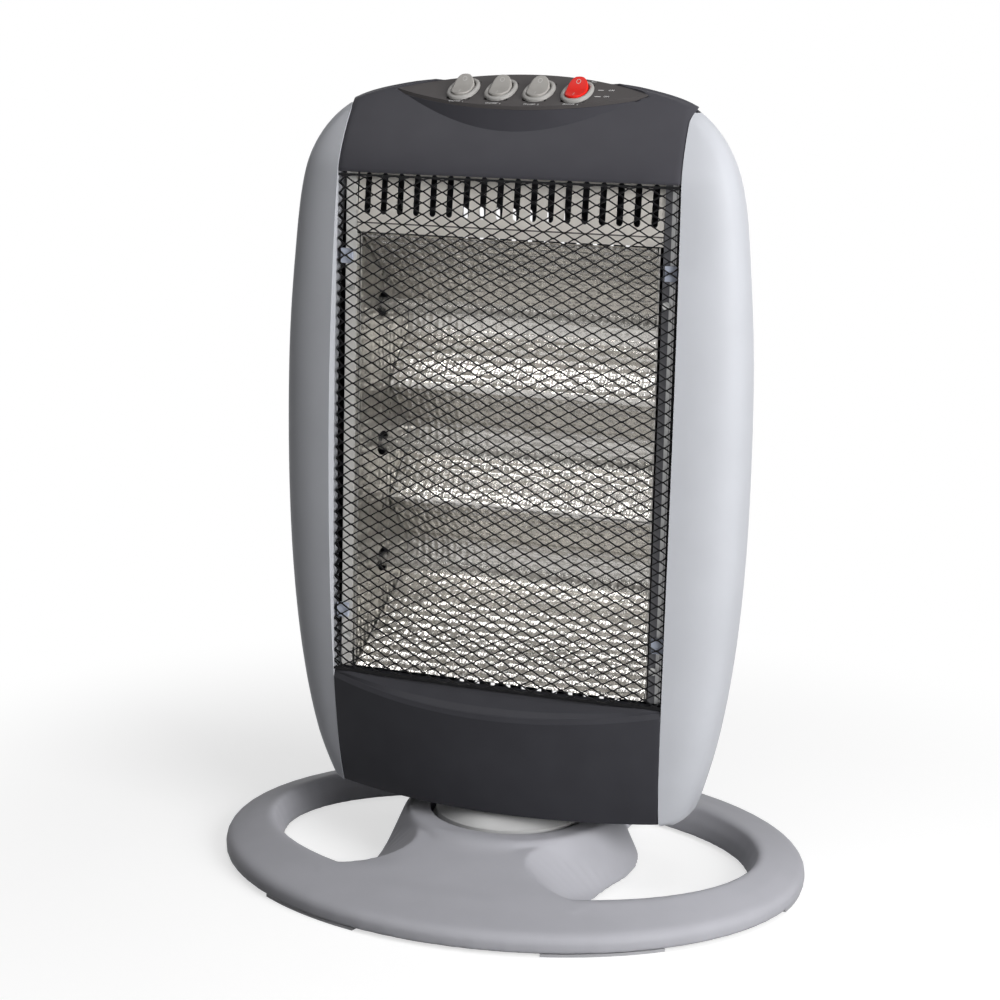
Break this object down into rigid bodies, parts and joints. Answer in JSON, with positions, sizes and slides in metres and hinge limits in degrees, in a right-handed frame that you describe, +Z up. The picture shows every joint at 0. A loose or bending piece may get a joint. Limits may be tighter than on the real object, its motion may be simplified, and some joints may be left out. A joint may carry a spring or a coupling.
{
  "type": "halogen heater",
  "caption": "Free-standing halogen heater with quartz tubes behind a mesh guard; the body swings on a pedestal in an oval ring base, with rocker switches on top.",
  "frame": {"origin": "on the floor under the foot pads, on the swivel axis", "axes": "+X to the viewer's right seen from the front, front towards -Y, +Z up"},
  "size_m": [0.419, 0.34, 0.5477],
  "materials": {
    "base_grey": "fine textured moulding",
    "dark_panel": "satin slate grey moulding",
    "side_grey": "satin light grey moulding",
    "control_face": "matt brown-grey moulding",
    "switch_grey": "semi-gloss",
    "rocker_red": "semi-gloss red",
    "black_wire": "black enamelled expanded metal",
    "reflector_sheet": "hammered bright sheet",
    "sheet_steel": "zinc plated sheet",
    "screw_steel": "zinc plated",
    "quartz": "clear quartz",
    "filament_wire": "oxidised resistance wire",
    "ceramic": "glazed ceramic",
    "white_plastic": "satin off-white moulding",
    "black_plastic": "matt",
    "foot_rubber": "matt grey rubber",
    "wire_sleeve": "glass-fibre sleeving",
    "brass_part": "plain"
  },
  "bodies": {
    "base": {"base_shell": "base_grey", "base_cover": "black_plastic", "base_cover_screws": "screw_steel", "foot_pads": "foot_rubber", "glide_ring": "white_plastic", "swivel_post": "screw_steel", "post_washer": "screw_steel", "post_nut": "screw_steel", "yoke_plate": "sheet_steel", "yoke_screws": "screw_steel"},
    "head": {"swivel_disc": "white_plastic", "disc_screws": "screw_steel", "bottom_cover": "black_plastic", "oscillation_motor": "sheet_steel", "motor_screws": "screw_steel", "lower_front_panel": "dark_panel", "upper_front_panel": "dark_panel", "control_panel": "control_face", "left_side_panel": "side_grey", "right_side_panel": "side_grey", "rear_cover": "dark_panel", "rear_cover_screws": "screw_steel", "carry_grip_pocket": "dark_panel", "cord_bushing": "black_plastic", "front_guard": "black_wire", "guard_clips": "white_plastic", "vent_plate": "sheet_steel", "reflector": "reflector_sheet", "reflector_cheek_left": "reflector_sheet", "reflector_cheek_right": "reflector_sheet", "frame_rail_left": "sheet_steel", "frame_rail_right": "sheet_steel", "rail_screws": "screw_steel", "heat_shield": "sheet_steel", "quartz_tube_bottom": "quartz", "quartz_tube_middle": "quartz", "quartz_tube_top": "quartz", "filament_bottom": "filament_wire", "filament_middle": "filament_wire", "filament_top": "filament_wire", "tube_caps_left": "ceramic", "tube_caps_right": "ceramic", "upper_baffle": "sheet_steel", "thermal_cutout": "ceramic", "terminal_block": "ceramic", "tip_over_switch": "black_plastic", "wire_harness": "wire_sleeve", "switch_housing_1": "switch_grey", "switch_housing_2": "switch_grey", "switch_housing_3": "switch_grey", "switch_housing_4": "switch_grey"},
    "crank": {"crank_arm": "brass_part"},
    "rocker_1": {"rocker_1": "switch_grey"},
    "rocker_2": {"rocker_2": "switch_grey"},
    "rocker_3": {"rocker_3": "switch_grey"},
    "rocker_4": {"rocker_4": "rocker_red"}
  },
  "joints": [
    {"name": "head_swivel", "type": "hinge", "parent": "base", "child": "head", "pos_m": [0, 0, 0.04], "axis": [0, 0, 1], "range_deg": [-28, 28]},
    {"name": "crank_turn", "type": "hinge", "parent": "head", "child": "crank", "pos_m": [0.027, 0, 0.04], "axis": [0, 0, 1], "range_deg": [-98, 98]},
    {"name": "rocker_1_press", "type": "hinge", "parent": "head", "child": "rocker_1", "pos_m": [-0.04035, -0.00111, 0.53616], "axis": [-1, 0, 0], "range_deg": [0, 24]},
    {"name": "rocker_2_press", "type": "hinge", "parent": "head", "child": "rocker_2", "pos_m": [-0.01345, -0.00111, 0.53616], "axis": [-1, 0, 0], "range_deg": [0, 24]},
    {"name": "rocker_3_press", "type": "hinge", "parent": "head", "child": "rocker_3", "pos_m": [0.01345, -0.00111, 0.53616], "axis": [-1, 0, 0], "range_deg": [0, 24]},
    {"name": "rocker_4_press", "type": "hinge", "parent": "head", "child": "rocker_4", "pos_m": [0.04035, -0.00111, 0.53616], "axis": [-1, 0, 0], "range_deg": [0, 24]}
  ],
  "couplings": [
    {"joint": "crank_turn", "follows": "head_swivel", "ratio": -3.5}
  ]
}
